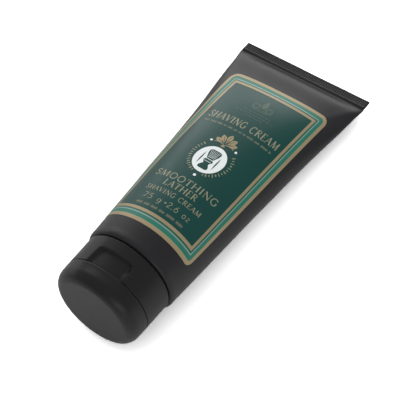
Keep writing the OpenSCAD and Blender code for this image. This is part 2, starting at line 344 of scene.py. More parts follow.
# ---------------------------------------------------------------- sleeve
RING_POINTS = 224
RING_ANGLES = np.linspace(0, TURN, RING_POINTS, endpoint=False)
SHOULDER_WALL = 0.55
SHOULDER_LIP_Z = 1.2


def make_sleeve():
    """The skin from the weld down to the shoulder, whose edge turns in and up round the head."""
    quarter = np.linspace(0, math.pi / 2, 9)
    heights = np.concatenate([SHOULDER_R * (1 - np.cos(quarter)), np.linspace(SHOULDER_R, 12, 12)[1:],
                              np.linspace(12, 100, 74)[1:], np.linspace(100, BODY_L, 46)[1:]])
    rings = [wall(RING_ANGLES, z) for z in heights]
    lip = rings[0].copy()
    lip[:, :2] *= (TUBE_R - SHOULDER_R - SHOULDER_WALL) / (TUBE_R - SHOULDER_R)
    lip_end = lip.copy()
    lip_end[:, 2] = SHOULDER_LIP_Z
    rings = [lip_end, lip] + rings
    faces = grid_faces(len(rings), RING_POINTS, wrap_cols=True)
    skin = mesh_object("tube_sleeve_skin", lay(np.array(rings)), faces, M_SLEEVE, 60)
    piece(skin, "tube", "sleeve", "tube_sleeve")


make_sleeve()

# ---------------------------------------------------------------- welded tail
RIBS = 60
POINTS_PER_RIB = 6
RIB_DEPTH = 0.19
END_TAPER = 0.5


def make_tail():
    """The flat weld band, with ribs pressed into both sides, a slight wave and all its edges closed."""
    cols = RIBS * POINTS_PER_RIB + 1
    x = np.linspace(-FLAT_HALF, FLAT_HALF, cols)
    from_end = np.clip((FLAT_HALF - np.abs(x)) / END_TAPER, 0, 1)
    rib = 0.5 + 0.5 * np.cos(TURN * RIBS * (x + FLAT_HALF) / (2 * FLAT_HALF))
    rib = smooth_step(np.clip((rib - 0.25) / 0.5, 0, 1))
    up = np.array([0, 0.25, 0.45, 0.7, 1.2, 2.0, 2.8, 3.4, 3.75, 3.95, 4.15, 4.3, CRIMP_H])
    ribbed = np.interp(up, [0, 0.3, 0.75, 3.55, 3.95, CRIMP_H], [0, 0, 1, 1, 0, 0])
    thickness = np.interp(up, [0, 0.3, 3.9, 4.25, CRIMP_H], [1.0, 0.96, 0.9, 0.86, 0.55])
    half = (CRIMP_T / 2) * thickness[:, None] * np.sqrt(np.clip(from_end, 0.08, 1))[None, :]
    half = half - RIB_DEPTH * ribbed[:, None] * (1 - rib)[None, :] * from_end[None, :]
    wave = 0.10 * np.sin(x * 0.11 + 0.5) + 0.05 * np.sin(x * 0.31)
    bow = wave[None, :] * (up / CRIMP_H)[:, None] * 0.6
    x_grid = np.broadcast_to(x, half.shape)
    z_grid = np.broadcast_to((BODY_L + up)[:, None], half.shape)
    front = np.stack([x_grid, bow - half, z_grid], -1)
    back = np.stack([x_grid, bow + half, z_grid], -1)
    rows = np.concatenate([front, back[::-1]], 0)
    faces = grid_faces(len(rows), cols, wrap_rows=True)
    left_end = tuple(j * cols for j in range(len(rows)))
    right_end = tuple(j * cols + cols - 1 for j in range(len(rows)))[::-1]
    band = mesh_object("tail_crimp_ribs", lay(rows), faces + [left_end, right_end], M_CRIMP, 50)
    piece(band, "tube", "crimp", "tail_crimp")


make_tail()

# ---------------------------------------------------------------- cap: shared shapes
POCKET_HALF = 2.3
POCKET_Y = HINGE_Y - 0.8
POCKET_ANGLE = math.asin(POCKET_HALF / PART_R)
POCKET_REACH = 2.5
OUTER_WALL_R = 16.9


def arc(r_mid, z_mid, r_size, z_size, start, end, n):
    """n points of an elliptical arc, with its angles in degrees."""
    angles = np.radians(np.linspace(start, end, n))
    return [(r_mid + r_size * math.cos(a), z_mid + z_size * math.sin(a)) for a in angles]


def lathe(name, path, mat, angles, sharp, push=None):
    """Revolves a closed path of (r, z) points. push(angle, r, z) says how far each point moves inwards."""
    path = np.array(path, float)
    r = np.broadcast_to(path[:, 0][:, None], (len(path), len(angles))).copy()
    z = np.broadcast_to(path[:, 1][:, None], r.shape)
    angle = np.broadcast_to(angles[None, :], r.shape)
    if push is not None:
        r = r - push(angle, r, z)
    points = np.stack([r * np.sin(angle), -r * np.cos(angle), z], -1)
    faces = grid_faces(len(path), len(angles), wrap_cols=True, wrap_rows=True)
    return mesh_object(name, lay(points), faces, mat, sharp)


def cap_angles(dense, n_dense, n_side):
    """Angles from the front: n_dense within dense degrees of it, n_side down each side, and a few at the back
    that are fine enough for the strap's pocket."""
    dense = np.radians(dense)
    margin = POCKET_ANGLE + 0.03
    lip = POCKET_ANGLE + 0.004
    front = np.linspace(-dense, dense, n_dense)
    side = np.linspace(dense, math.pi - margin, n_side)[1:-1]
    across = np.linspace(-POCKET_ANGLE, POCKET_ANGLE, 13)
    back = math.pi + np.concatenate([[-margin, -lip], across, [lip, margin]])
    return np.concatenate([front, side, back, TURN - side[::-1]])


def from_front(angle):
    """The angle from the front, between -pi and pi."""
    return (angle + math.pi) % TURN - math.pi


def pocket(angle, r, z, low, high):
    """Flat-bottomed pocket for the hinge strap, cut between two heights at the back of the outer wall."""
    back = angle % TURN - math.pi
    cut = np.maximum(0, r - POCKET_Y / np.cos(np.clip(back, -1, 1)))
    inside = (np.abs(back) < POCKET_ANGLE + 0.001) & (z > low) & (z < high) & (r > OUTER_WALL_R)
    return np.where(inside, cut, 0)


# ---------------------------------------------------------------- cap base
RECESS_TOP = -5.0
RECESS_HALF = 7.9
RECESS_CORNER = 1.8
RECESS_DEPTH = 1.42
RECESS_WIDENING = 0.8
WALL_TOP = -0.85
WALL_FOOT = -12.2
WALL_STEPS = 64


def recess(angle, r, z):
    """Depth of the strap's pocket and of the thumb recess, which widens towards the parting line."""
    down = np.clip(z, -PART_H, 0)
    u = from_front(angle) * PART_R - 0.3
    half = RECESS_HALF + RECESS_WIDENING * np.clip((-down + RECESS_TOP) / 7.5, 0, 1)
    past_u = np.abs(u) - (half - RECESS_CORNER)
    past_z = (down - RECESS_TOP) + RECESS_CORNER
    # distance from the recess's rounded outline, negative inside
    corner = np.hypot(np.maximum(past_u, 0), np.maximum(past_z, 0))
    distance = corner + np.minimum(np.maximum(past_u, past_z), 0) - RECESS_CORNER
    slope = 1.35 + 1.4 * np.clip(u / 6, 0, 1) * np.clip((-down - 6.5) / 4, 0, 1)
    share = smooth_step(np.clip(-distance / slope, 0, 1))
    depth = RECESS_DEPTH * (1 - 0.12 * np.clip((-down - 6) / 6.5, 0, 1))
    fade = np.clip((r - 11.5) / 4.5, 0, 1)
    return share * depth * fade + pocket(angle, r, z, -PART_H - 0.1, -PART_H + POCKET_REACH)


def make_cap_base():
    """Skirt, deck with the spout and the lid's seat, and the collar that clips over the neck."""
    spout = ([(2.2, -10.3), (2.2, -13.9)] + arc(2.75, -14.15, 0.55, 0.5, 180, 270, 5)
             + arc(3.55, -14.2, 0.45, 0.45, 270, 360, 5) + [(4.0, -13.2), (4.05, -12.2)])
    deck = arc(4.65, -12.1, 0.6, 0.6, 180, 90, 5) + [(r, -11.5) for r in (5.2, 8, 11, 14, 16.0)]
    seat = (arc(16.2, -11.8, 0.4, 0.3, 90, 0, 4) + [(16.62, -12.2)]
            + arc(16.8, -12.36, 0.15, 0.14, 180, 270, 4) + [(17.2, -PART_H), (17.6, -PART_H)]
            + arc(PART_R - 0.3, WALL_FOOT, 0.3, 0.3, 270, 360, 7))
    skirt = []
    for k in range(1, WALL_STEPS):
        z = WALL_FOOT + (WALL_TOP - WALL_FOOT) * k / WALL_STEPS
        skirt.append((CAP_R + (PART_R - CAP_R) * (-z - GROOVE) / (PART_H - GROOVE), z))
    rim = arc(CAP_R - 0.5, WALL_TOP, 0.5, 0.5, 0, 90, 7) + [(17.3, -GROOVE), (16.9, -0.45)]
    inside = [(16.85, -3), (16.75, -7), (16.65, -10.2), (14, -10.3)]
    collar = [(10.9, -10.3), (10.9, -1.2), (9.75, -1.2), (9.75, -10.3)]
    path = spout + deck + seat + skirt + rim + inside + collar
    base = lathe("cap_base_moulding", path, M_CAP, cap_angles(34, 200, 59), 40, push=recess)
    piece(base, "tube", "cap", "cap_base")


make_cap_base()

# ---------------------------------------------------------------- cap lid
LID_EDGE_H = 4.7
LID_EDGE_R = 4.15
LID_EDGE_POWER = 0.92
INNER_END = -19.7
DISH_DEPTH = 0.5
DISH_Z = -13.4


def thumb_dish(angle, r, z):
    """Depth of the shallow dish in the lid's front, below the recess, and of the strap's pocket."""
    u = from_front(angle) * PART_R
    share = np.exp(-((u / 7.0) ** 4)) * hump(z - DISH_Z, 3.0)
    fade = np.clip((r - OUTER_WALL_R) / 0.5, 0, 1)
    return DISH_DEPTH * share * fade + pocket(angle, r, z, -PART_H - POCKET_REACH, -PART_H)


def make_cap_lid():
    """Lid with a rounded edge, a slightly hollow end and the plug that seals the spout."""
    rim = arc(16.95, -12.95, 0.3, 0.3, 180, 90, 5) + arc(PART_R - 0.4, -13.05, 0.4, 0.4, 90, 0, 8)
    side = [(PART_R - 0.01, -13.6), (PART_R - 0.03, -14.2), (PART_R - 0.05, -14.97), (PART_R - 0.05, -15.03),
            (END_R, -15.6)]
    edge = [(END_R - LID_EDGE_R * (1 - math.cos(a) ** LID_EDGE_POWER),
             -CAP_H + LID_EDGE_H * (1 - math.sin(a))) for a in np.radians(np.linspace(0, 60, 20))]
    roll = [(15.5, 0.42), (15.2, 0.27), (14.95, 0.17), (14.7, 0.095), (14.4, 0.04), (14.0, 0.01)]
    hollow = [(13.6, 0.01), (12, 0.03), (9, 0.07), (5, 0.09), (0.02, 0.1)]
    end = [(r, -CAP_H + h) for r, h in roll + hollow]
    plug = [(0.02, -11.45), (1.5, -11.45), (1.95, -11.7), (2.09, -12.1), (2.11, -19.0), (2.6, -19.55),
            (4, INNER_END)]
    inside = ([(9, INNER_END), (12.9, INNER_END)] + arc(13.25, INNER_END + 3.3, 3.35, 3.3, 270, 360, 8)
              + [(16.62, -14)])
    path = [(16.65, -12.75)] + rim + side + edge + end + plug + inside
    lid = lathe("cap_lid_moulding", path, M_CAP, cap_angles(40, 120, 55), 40, push=thumb_dish)
    piece(lid, "lid", "cap", "cap_lid")


make_cap_lid()


# ---------------------------------------------------------------- tube head and cream
def make_head():
    """Shoulder disc and neck, with the snap bead that the collar clips over."""
    disc = [(17.2, 0.08), (17.25, 0.4), (17.25, 1.4), (10, 1.8), (6.6, 1.8)]
    neck = [(6.6, -7.5), (2.5, -7.5), (2.5, -8.5), (8.6, -8.5), (9, -8.1), (9, -6.4)]
    bead = [(9.5, -5.9), (9.5, -5.4), (9, -4.9), (9, -0.3), (9.5, 0.05)]
    angles = np.linspace(0, TURN, 160, endpoint=False)
    head = lathe("tube_head_moulding", disc + neck + bead, M_HEAD, angles, 30)
    piece(head, "tube", "head", "tube_head")


make_head()

CREAM_LOW = 2.6
CREAM_FILL = 0.69
CREAM_GAP = 0.9
CREAM_RINGS = 40


def make_cream():
    """Cream inside the sleeve, up to a share of its length."""
    heights = np.linspace(CREAM_LOW, BODY_L * CREAM_FILL, CREAM_RINGS)
    angles = RING_ANGLES[::4]
    n = len(angles)
    rings = []
    for z in heights:
        a, b = semi(z)
        y = np.minimum((b - CREAM_GAP) * np.sin(angles), table_y(z) - CREAM_GAP)
        rings.append(np.stack([(a - CREAM_GAP) * np.cos(angles), y, np.full(n, z)], -1))
    points = lay(np.array(rings)).reshape(-1, 3)
    middles = lay(np.array([[0, 0, heights[0]], [0, 0, heights[-1]]]))
    faces = grid_faces(CREAM_RINGS, n, wrap_cols=True)
    low_middle = len(points)
    last = (CREAM_RINGS - 1) * n
    faces += [((i + 1) % n, i, low_middle) for i in range(n)]
    faces += [(last + i, last + (i + 1) % n, low_middle + 1) for i in range(n)]
    cream = mesh_object("cream_body", np.vstack([points, middles]), faces, M_CREAM, 60)
    piece(cream, "tube", "cream", "cream_fill")


make_cream()

# ---------------------------------------------------------------- hinge
PAD_WALL_R = 17.2
PAD_STEPS = 8
PAD_FOOT = 2.1
PAD_HEIGHT = 3.8
PAD_ROUNDING = 0.18
BASE_EDGE = -PART_H + 0.45
LID_EDGE = -PART_H - 0.55
FILM_TOP = -PART_H + 0.44
FILM_FOOT = -PART_H - 0.54
FILM_T = 0.3
STRAP_HALF = 2.0
STRAP_IN = HINGE_Y - 0.7
STRAP_OUT = HINGE_Y - 0.2
STRAP_REACH = 2.35


def make_pad(name, body, edge, up, x0, x1):
    """Hinge pad from the middle of the round wall out to the straight hinge line. It starts at the height
    edge, and up is 1 if it goes up from there and -1 if it goes down."""
    points = []
    for x in np.linspace(x0, x1, PAD_STEPS + 1):
        y_in = math.sqrt(PAD_WALL_R**2 - x * x)
        y_end = max(HINGE_Y - 0.9, y_in + 0.3)
        outline = [(y_in, edge), (HINGE_Y, edge), (HINGE_Y, edge + up * PAD_FOOT),
                   (y_end, edge + up * PAD_HEIGHT), (y_in, edge + up * PAD_HEIGHT)]
        points += [(x, y, z) for y, z in (outline[::-1] if up > 0 else outline)]
    n = 5
    faces = grid_faces(PAD_STEPS + 1, n, wrap_cols=True)
    faces += [tuple(range(n))[::-1], tuple(PAD_STEPS * n + i for i in range(n))]
    pad = mesh_object(name, lay(np.array(points)), faces, M_CAP, 30)
    rounding = pad.modifiers.new("soft", "BEVEL")
    rounding.width = PAD_ROUNDING * 0.001
    rounding.segments = 3
    rounding.limit_method = "ANGLE"
    piece(pad, body, "cap")


def make_web(name, node, x_range, y_range, z_range, rings, thin):
    """A strip across the parting line, thinner in its middle."""
    x0, x1 = x_range
    y0, y1 = y_range
    z0, z1 = z_range
    points = []
    for z in np.linspace(z0, z1, rings):
        loss = thin * (1 - abs(2 * (z - z0) / (z1 - z0) - 1))
        y_in = y0 + loss
        y_out = y1 - loss * 0.2
        points += [(x0, y_in, z), (x1, y_in, z), (x1, y_out, z), (x0, y_out, z)]
    faces = grid_faces(rings, 4, wrap_cols=True)
    faces += [(0, 1, 2, 3), tuple((rings - 1) * 4 + i for i in (3, 2, 1, 0))]
    strip = mesh_object(name, lay(np.array(points)), faces, M_HINGE, 30)
    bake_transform(strip)
    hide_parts(node)


for side_name, x0, x1 in (("left", -PAD_HALF, -POCKET_HALF), ("right", POCKET_HALF, PAD_HALF)):
    make_pad("hinge_pad_base_" + side_name, "tube", BASE_EDGE, 1, x0, x1)
    make_pad("hinge_pad_lid_" + side_name, "lid", LID_EDGE, -1, x0, x1)
for side_name, x0, x1 in (("left", -PAD_HALF + 0.3, -2.6), ("right", 2.6, PAD_HALF - 0.3)):
    film = "hinge_film_" + side_name
    make_web(film + "_web", film, (x0, x1), (HINGE_Y - FILM_T, HINGE_Y), (FILM_TOP, FILM_FOOT), 9, 0.1)
make_web("hinge_strap_web", "hinge_strap", (-STRAP_HALF, STRAP_HALF), (STRAP_IN, STRAP_OUT),
         (-PART_H + STRAP_REACH, -PART_H - STRAP_REACH), 25, 0.12)

# ---------------------------------------------------------------- printed ground and border
# how far each layer of ink stands off the sleeve
OFF_GROUND = 0.035
OFF_INK = 0.065
OFF_TOP = 0.095
CORNER_HIGH = 3.6
CORNER_LOW = 2.4
GROUND_COLS = 81
# where the lines of the border end, inwards from the label's edge
GOLD_OUTER = 1.4
TEAL = 2.85
SILVER = 3.3
DEEP_GREEN = 3.9
GOLD_INNER = 5.0


def outline(inset):
    """Points (u, z) round the label, inset at the sides, and END_STRETCH times as much at the ends."""
    half = LABEL_HALF - inset
    low = LABEL_LOW + inset * END_STRETCH
    high = LABEL_HIGH - inset * END_STRETCH
    r_high = max(CORNER_HIGH - inset, 0.05)
    r_low = max(CORNER_LOW - inset, 0.05)
    z_high = high - r_high * END_STRETCH
    z_low = low + r_low * END_STRETCH

    def corner(u, z, r, start):
        angles = np.radians(np.linspace(start, start + 90, 10))
        return [(u + r * math.cos(a), z + r * END_STRETCH * math.sin(a)) for a in angles]

    def line(p, q, n):
        return [(p[0] + (q[0] - p[0]) * k / n, p[1] + (q[1] - p[1]) * k / n) for k in range(1, n)]

    return np.array(
        corner(half - r_low, z_low, r_low, -90) + line((half, z_low), (half, z_high), 60)
        + corner(half - r_high, z_high, r_high, 0) + line((half - r_high, high), (-half + r_high, high), 40)
        + corner(-half + r_high, z_high, r_high, 90) + line((-half, z_high), (-half, z_low), 60)
        + corner(-half + r_low, z_low, r_low, 180) + line((-half + r_low, low), (half - r_low, low), 40))


def make_band(name, inset0, inset1, mat, slot, *nodes):
    """One line of the border, between two insets."""
    loops = np.array([outline(inset) for inset in np.linspace(inset0, inset1, 4)])
    points = on_front(loops[..., 0], loops[..., 1], OFF_INK)
    ring = mesh_object(name, points, grid_faces(len(loops), loops.shape[1], wrap_cols=True), mat)
    piece(ring, "tube", slot, *nodes)


def corner_loss(from_end, r):
    """What a rounded corner takes off the half width, at a distance from the label's end."""
    share = min(1, max(0, 1 - from_end / (r * END_STRETCH)))
    return r * (1 - math.sqrt(1 - share * share))


def make_ground():
    """The green ground: rows of points whose half width follows the rounded outline."""
    low_h = CORNER_LOW * END_STRETCH
    high_h = CORNER_HIGH * END_STRETCH
    quarter = np.radians(np.linspace(0, 90, 8))
    heights = np.concatenate([LABEL_LOW + (1 - np.cos(quarter)) * low_h,
                              np.linspace(LABEL_LOW + low_h, LABEL_HIGH - high_h, 110)[1:-1],
                              LABEL_HIGH - (1 - np.sin(quarter)) * high_h])
    halves = [LABEL_HALF - corner_loss(z - LABEL_LOW, CORNER_LOW) - corner_loss(LABEL_HIGH - z, CORNER_HIGH)
              for z in heights]
    u = np.array(halves)[:, None] * np.linspace(-1, 1, GROUND_COLS)[None, :]
    z = np.broadcast_to(heights[:, None], u.shape)
    faces = grid_faces(len(heights), GROUND_COLS)
    ground = mesh_object("label_ground", on_front(u, z, OFF_GROUND), faces, M_GREEN)
    piece(ground, "tube", "label_green", "front_label")


make_ground()
make_band("label_gold_outer", 0.0, GOLD_OUTER, M_GOLD, "label_gold", "label_outer_line")
make_band("label_teal", GOLD_OUTER, TEAL, M_TEAL, "label_teal", "label_teal_band")
make_band("label_silver", TEAL, SILVER, M_SILVER, "label_silver", "label_silver_line")
make_band("label_deep_green", SILVER, DEEP_GREEN, M_DEEP, "label_teal")
make_band("label_gold_inner", DEEP_GREEN, GOLD_INNER, M_GOLD, "label_gold", "label_inner_line")

# ---------------------------------------------------------------- plain Roman letters, drawn as strokes
# widths of strokes as a share of a letter's height
STEM = 0.15
THIN = 0.065
CURVED = 0.11
TIP = 0.05
SERIF = 0.045
DIGIT = 0.09
SMALL = 0.085
LETTER_GAP = 0.14


def ellipse(x, y, rx, ry, start, end, n):
    """n points of an elliptical arc, with its angles in degrees."""
    angles = [math.radians(a) for a in np.linspace(start, end, n)]
    return [(x + rx * math.cos(a), y + ry * math.sin(a)) for a in angles]


def line(width, *points):
    return list(points), width


def bowl(width, *shape):
    return ellipse(*shape), width


def serif(x, y):
    return line(SERIF, (x - 0.12, y), (x + 0.12, y))


def stem(x, width=STEM):
    return line(width, (x, 0), (x, 1))


# each letter's width, and its strokes in a frame that is 1 high
GLYPHS = {
    "A": (0.80, [line(THIN, (0.06, 0.02), (0.40, 1)), line(STEM, (0.40, 1), (0.74, 0.02)),
                 line(THIN, (0.18, 0.36), (0.62, 0.36)), serif(0.06, 0.02), serif(0.74, 0.02)]),
    "C": (0.80, [bowl(CURVED, 0.44, 0.5, 0.38, 0.49, 48, 312, 22), line(TIP, (0.70, 0.98), (0.70, 0.78))]),
    "D": (0.84, [stem(0.14), bowl(CURVED, 0.24, 0.5, 0.54, 0.48, 90, -90, 20),
                 line(TIP, (0.02, 0.98), (0.28, 0.98)), line(TIP, (0.02, 0.02), (0.28, 0.02))]),
    "E": (0.62, [stem(0.14), line(THIN, (0.02, 0.98), (0.56, 0.98)), line(THIN, (0.14, 0.52), (0.46, 0.52)),
                 line(THIN, (0.02, 0.02), (0.60, 0.02)), line(TIP, (0.55, 0.98), (0.55, 0.82)),
                 line(TIP, (0.59, 0.02), (0.59, 0.2))]),
    "G": (0.86, [bowl(CURVED, 0.44, 0.5, 0.38, 0.49, 48, 318, 22), line(0.13, (0.72, 0.14), (0.72, 0.45)),
                 line(TIP, (0.58, 0.45), (0.84, 0.45)), line(TIP, (0.70, 0.98), (0.70, 0.78))]),
    "H": (0.90, [stem(0.14), stem(0.76), line(THIN, (0.14, 0.52), (0.76, 0.52)), serif(0.14, 0.02),
                 serif(0.14, 0.98), serif(0.76, 0.02), serif(0.76, 0.98)]),
    "I": (0.32, [stem(0.16), serif(0.16, 0.02), serif(0.16, 0.98)]),
    "L": (0.62, [stem(0.14), line(THIN, (0.02, 0.02), (0.58, 0.02)), serif(0.14, 0.98),
                 line(TIP, (0.57, 0.02), (0.57, 0.2))]),
    "M": (1.02, [line(THIN, (0.12, 0), (0.16, 1)), line(STEM, (0.18, 1), (0.50, 0.05)),
                 line(THIN, (0.50, 0.05), (0.84, 1)), line(STEM, (0.86, 1), (0.90, 0)), serif(0.12, 0.02),
                 serif(0.90, 0.02)]),
    "N": (0.88, [stem(0.14, THIN), line(STEM, (0.12, 1), (0.74, 0.02)), stem(0.74, THIN), serif(0.14, 0.02),
                 serif(0.74, 0.98), line(SERIF, (0.0, 0.98), (0.2, 0.98))]),
    "O": (0.90, [bowl(CURVED, 0.45, 0.5, 0.38, 0.49, 0, 360, 30)]),
    "R": (0.76, [stem(0.14), bowl(0.09, 0.26, 0.75, 0.32, 0.23, 90, -90, 14),
                 line(0.06, (0.14, 0.98), (0.28, 0.98)), line(0.06, (0.14, 0.51), (0.28, 0.51)),
                 line(0.12, (0.34, 0.50), (0.72, 0.02)), serif(0.14, 0.02),
                 line(SERIF, (0.02, 0.98), (0.2, 0.98))]),
    "S": (0.60, [line(CURVED, (0.52, 0.82), (0.44, 0.94), (0.30, 0.99), (0.15, 0.94), (0.08, 0.80),
                      (0.12, 0.66), (0.28, 0.55), (0.44, 0.44), (0.53, 0.30), (0.50, 0.13), (0.38, 0.03),
                      (0.24, 0.01), (0.12, 0.07), (0.06, 0.20))]),
    "T": (0.74, [stem(0.37), line(THIN, (0.03, 0.98), (0.71, 0.98)), line(TIP, (0.04, 0.98), (0.04, 0.80)),
                 line(TIP, (0.70, 0.98), (0.70, 0.80)), serif(0.37, 0.02)]),
    "V": (0.80, [line(STEM, (0.06, 0.98), (0.42, 0.02)), line(THIN, (0.42, 0.02), (0.76, 0.98)),
                 serif(0.06, 0.98), serif(0.76, 0.98)]),
    "g": (0.60, [bowl(0.08, 0.28, 0.34, 0.20, 0.26, 0, 360, 20),
                 line(0.08, (0.50, 0.60), (0.50, -0.12), (0.38, -0.28), (0.16, -0.26))]),
    "o": (0.54, [bowl(SMALL, 0.27, 0.33, 0.21, 0.31, 0, 360, 22)]),
    "z": (0.48, [line(0.08, (0.05, 0.62), (0.43, 0.62), (0.05, 0.03), (0.45, 0.03))]),
    "2": (0.58, [line(DIGIT, (0.06, 0.76), (0.12, 0.92), (0.28, 0.99), (0.44, 0.93), (0.50, 0.76),
                      (0.44, 0.56), (0.04, 0.03), (0.56, 0.03))]),
    "5": (0.60, [line(DIGIT, (0.50, 0.97), (0.16, 0.97), (0.12, 0.58), (0.30, 0.62), (0.48, 0.52),
                      (0.54, 0.32), (0.46, 0.10), (0.28, 0.02), (0.08, 0.08))]),
    "6": (0.60, [bowl(SMALL, 0.30, 0.32, 0.23, 0.30, 0, 360, 24),
                 line(SMALL, (0.08, 0.36), (0.13, 0.66), (0.28, 0.90), (0.46, 0.99))]),
    "7": (0.60, [line(DIGIT, (0.04, 0.97), (0.56, 0.97), (0.24, 0))]),
    ".": (0.22, [line(0.13, (0.11, 0.0), (0.11, 0.13))]),
    " ": (0.42, []),
}


def resample(points, step):
    """The same polyline with no stretch longer than step."""
    out = [points[0]]
    for p, q in zip(points[:-1], points[1:]):
        n = max(1, math.ceil(math.dist(p, q) / step))
        out += [(p[0] + (q[0] - p[0]) * i / n, p[1] + (q[1] - p[1]) * i / n) for i in range(1, n + 1)]
    return out


class Print:
    """Collects flat printed shapes and turns them into one mesh that follows the tube."""

    def __init__(self):
        self.points = []
        self.faces = []

    def ribbon(self, points, width):
        """A line of even width."""
        path = np.array(resample(points, 0.7), float)
        along = np.gradient(path, axis=0)
        along /= np.maximum(np.hypot(along[:, 0], along[:, 1]), 1e-9)[:, None]
        across = np.stack([-along[:, 1], along[:, 0]], -1) * width / 2
        first = len(self.points)
        for p, a in zip(path, across):
            self.points += [tuple(p - a), tuple(p + a)]
        for i in range(first, first + 2 * (len(path) - 1), 2):
            self.faces.append((i, i + 2, i + 3, i + 1))

    def word(self, text, u, z, height, width):
        """text with its base at z, centred on u and stretched to a width."""
        stretch = width / (sum(GLYPHS[c][0] for c in text) + LETTER_GAP * (len(text) - 1))
        x = u - width / 2
        for c in text:
            advance, strokes = GLYPHS[c]
            for points, thick in strokes:
                placed = [(x + px * stretch, z + pz * height) for px, pz in points]
                self.ribbon(placed, thick * (0.5 * height + 0.5 * stretch))
            x += (advance + LETTER_GAP) * stretch

    def spindle(self, u, z, angle, length, width, power=0.8):
        """A leaf or drop that starts at (u, z). A power above 1 puts its widest place nearer its far end."""
        steps = 8
        c = math.cos(angle)
        s = math.sin(angle)
        first = len(self.points)
        for share in np.linspace(0, 1, steps + 1):
            half = width / 2 * np.sin(math.pi * share**power)
            along = share * length
            self.points += [(u + along * c - half * s, z + along * s + half * c),
                            (u + along * c + half * s, z + along * s - half * c)]
        for i in range(first, first + 2 * steps, 2):
            self.faces.append((i, i + 1, i + 3, i + 2))

    def disc(self, u, z, ru, rz, rings, n):
        """A filled oval of n sides."""
        first = len(self.points)
        self.points.append((u, z))
        angles = np.linspace(0, TURN, n, endpoint=False)
        for ring in range(1, rings + 1):
            share = ring / rings
            self.points += [(u + ru * share * math.cos(a), z + rz * share * math.sin(a)) for a in angles]
        self.faces += [(first, first + 1 + i, first + 1 + (i + 1) % n) for i in range(n)]
        for face in grid_faces(rings, n, wrap_cols=True, start=first + 1):
            self.faces.append(face[::-1])

    def shape(self, u, low, high, shares, halves, rows):
        """A silhouette symmetric about u, from its half widths at shares of its height."""
        cols = 9
        first = len(self.points)
        heights = np.linspace(low, high, rows)
        widths = np.interp((heights - low) / (high - low), shares, halves)
        for z, half in zip(heights, widths):
            self.points += [(u + half * side, z) for side in np.linspace(-1, 1, cols)]
        self.faces += grid_faces(rows, cols, start=first)

    def make(self, name, off, mat, slot, *nodes):
        """Turns the shapes into one piece that stands off the sleeve."""
        flat = np.array(self.points)
        piece(mesh_object(name, on_front(flat[:, 0], flat[:, 1], off), self.faces, mat), "tube", slot, *nodes)


# ---------------------------------------------------------------- printed words
# text, its middle u, its base z, height and width
WORDS = (("SHAVING CREAM", 0.3, 71.2, 3.9, 32.0), ("SMOOTHING", 0.5, 33.7, 3.1, 28.0),
         ("LATHER", 0.5, 29.8, 3.0, 14.5), ("SHAVING CREAM", 0.5, 25.8, 2.2, 24.5),
         ("75 g", -5.6, 21.2, 2.6, 8.4), ("2.6 oz", 6.2, 21.2, 2.6, 10.0))
BAR_PITCH = 0.36


def make_words():
    words = Print()
    for text, u, z, height, width in WORDS:
        words.word(text, u, z, height, width)
    # the dot between the two measures
    words.spindle(-0.2, 22.4, 0, 0.9, 0.8)
    words.make("label_words", OFF_INK, M_PALE, "label_gold")


def bars(target, u, z, height, width, shortest, longest, gap):
    """A row of small print that can't be read: groups of upright bars, each with a bar across its middle."""
    x = u - width / 2
    end = u + width / 2
    while x < end - shortest:
        length = min(rng.uniform(shortest, longest), end - x)
        n = max(1, int(length / BAR_PITCH))
        for i in range(n):
            x_bar = x + (i + 0.5) * length / n
            top = z + height * rng.uniform(0.7, 1.0)
            target.ribbon([(x_bar, z), (x_bar, top)], length / n * 0.5)
        target.ribbon([(x, z + height * 0.5), (x + length, z + height * 0.5)], height * 0.22)
        x += length + gap


def make_small_print():
    small = Print()
    bars(small, 0.3, 68.2, 1.25, 31.5, 0.8, 3.2, 0.7)
    bars(small, 0.5, 17.7, 1.5, 21.0, 1.0, 3.6, 0.8)
    small.make("label_small_print", OFF_INK, M_DIM, "label_gold")


make_words()
make_small_print()

# ---------------------------------------------------------------- badge
BADGE_U = 0.4
BADGE_Z = 49.7
OVAL_U = 6.2
OVAL_Z = 7.4
RING_U = 8.1
RING_Z = 9.3
PETALS_Z = BADGE_Z + 9.4
PETAL_TURN = 31
UPRIGHT = math.pi / 2


def make_badge():
    """White oval with a shaving brush: handle, bristles and a leaf on each side."""
    oval = Print()
    oval.disc(BADGE_U, BADGE_Z, OVAL_U, OVAL_Z, 7, 56)
    oval.make("label_badge_oval", OFF_INK, M_WHITE, "label_badge", "label_badge")
    brush = Print()
    brush.shape(BADGE_U, BADGE_Z - 5.6, BADGE_Z - 0.2, (0, 0.06, 0.2, 0.38, 0.55, 0.7, 0.82, 0.92, 1),
                (1.5, 2.0, 2.15, 1.7, 1.1, 1.5, 1.95, 1.9, 1.5), 22)
    brush.shape(BADGE_U, BADGE_Z + 0.15, BADGE_Z + 5.3, (0, 0.15, 0.5, 0.8, 0.95, 1),
                (1.35, 1.7, 2.35, 2.6, 2.2, 1.5), 18)
    for side in (-1, 1):
        brush.spindle(BADGE_U + side * 3.3, BADGE_Z - 4.2, UPRIGHT, 7.2, 0.55, 1.0)
    brush.make("label_badge_brush", OFF_TOP, M_GREEN, "label_green")
    hairs = Print()
    for k in np.linspace(-1, 1, 7):
        hairs.ribbon([(BADGE_U + k * 1.1, BADGE_Z + 0.7), (BADGE_U + k * 1.95, BADGE_Z + 4.9)], 0.13)
    # the ring round the handle
    hairs.ribbon([(BADGE_U - 1.5, BADGE_Z - 1.35), (BADGE_U + 1.5, BADGE_Z - 1.35)], 0.22)
    hairs.make("label_badge_hair", OFF_TOP + 0.02, M_WHITE, "label_badge")


